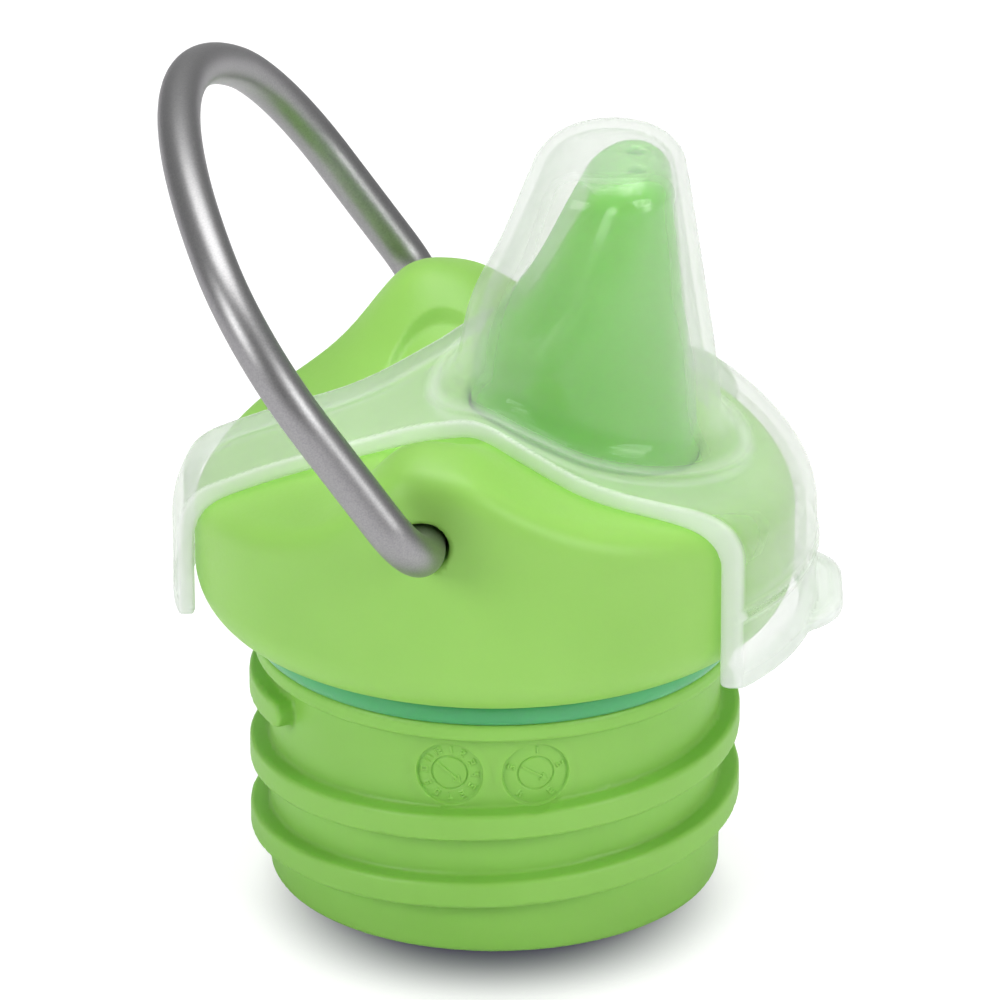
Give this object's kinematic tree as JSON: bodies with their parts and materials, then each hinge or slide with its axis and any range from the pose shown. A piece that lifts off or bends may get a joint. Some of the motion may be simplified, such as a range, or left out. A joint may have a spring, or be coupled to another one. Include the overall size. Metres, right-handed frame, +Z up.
{
  "type": "sippy bottle cap",
  "caption": "Screw-in sippy cap for a children's bottle: threaded stem, domed crown, soft leaning spout, wire carry loop and a clear dust cover.",
  "frame": {"origin": "centre of the stem's open lower end, on the screw axis", "axes": "+Z up along the screw axis, +X towards the dust cover's finger tab, the bail hinge runs along Y"},
  "size_m": [0.0642, 0.0718, 0.0792],
  "materials": {
    "stem_plastic": "fine matte moulded polypropylene, lime green",
    "crown_plastic": "fine matte moulded polypropylene, lime green",
    "gasket_rubber": "smooth silicone, blue green",
    "spout_silicone": "satin translucent silicone, green",
    "bail_steel": "satin stainless wire",
    "cover_plastic": "clear, slightly milky polypropylene"
  },
  "bodies": {
    "cap": {"threaded_stem": "stem_plastic", "neck_gasket": "gasket_rubber", "crown_shell": "crown_plastic", "spout": "spout_silicone"},
    "bail": {"bail": "bail_steel"},
    "cover": {"dust_cover": "cover_plastic"}
  },
  "joints": [
    {"name": "bail_hinge", "type": "hinge", "parent": "cap", "child": "bail", "pos_m": [-0.0062, 0, 0.0444], "axis": [0, -1, 0], "range_deg": [-133, 95]},
    {"name": "cover_lift", "type": "slide", "parent": "cap", "child": "cover", "axis": [0.0872, 0, 0.9962], "range_m": [0, 0.055]}
  ]
}
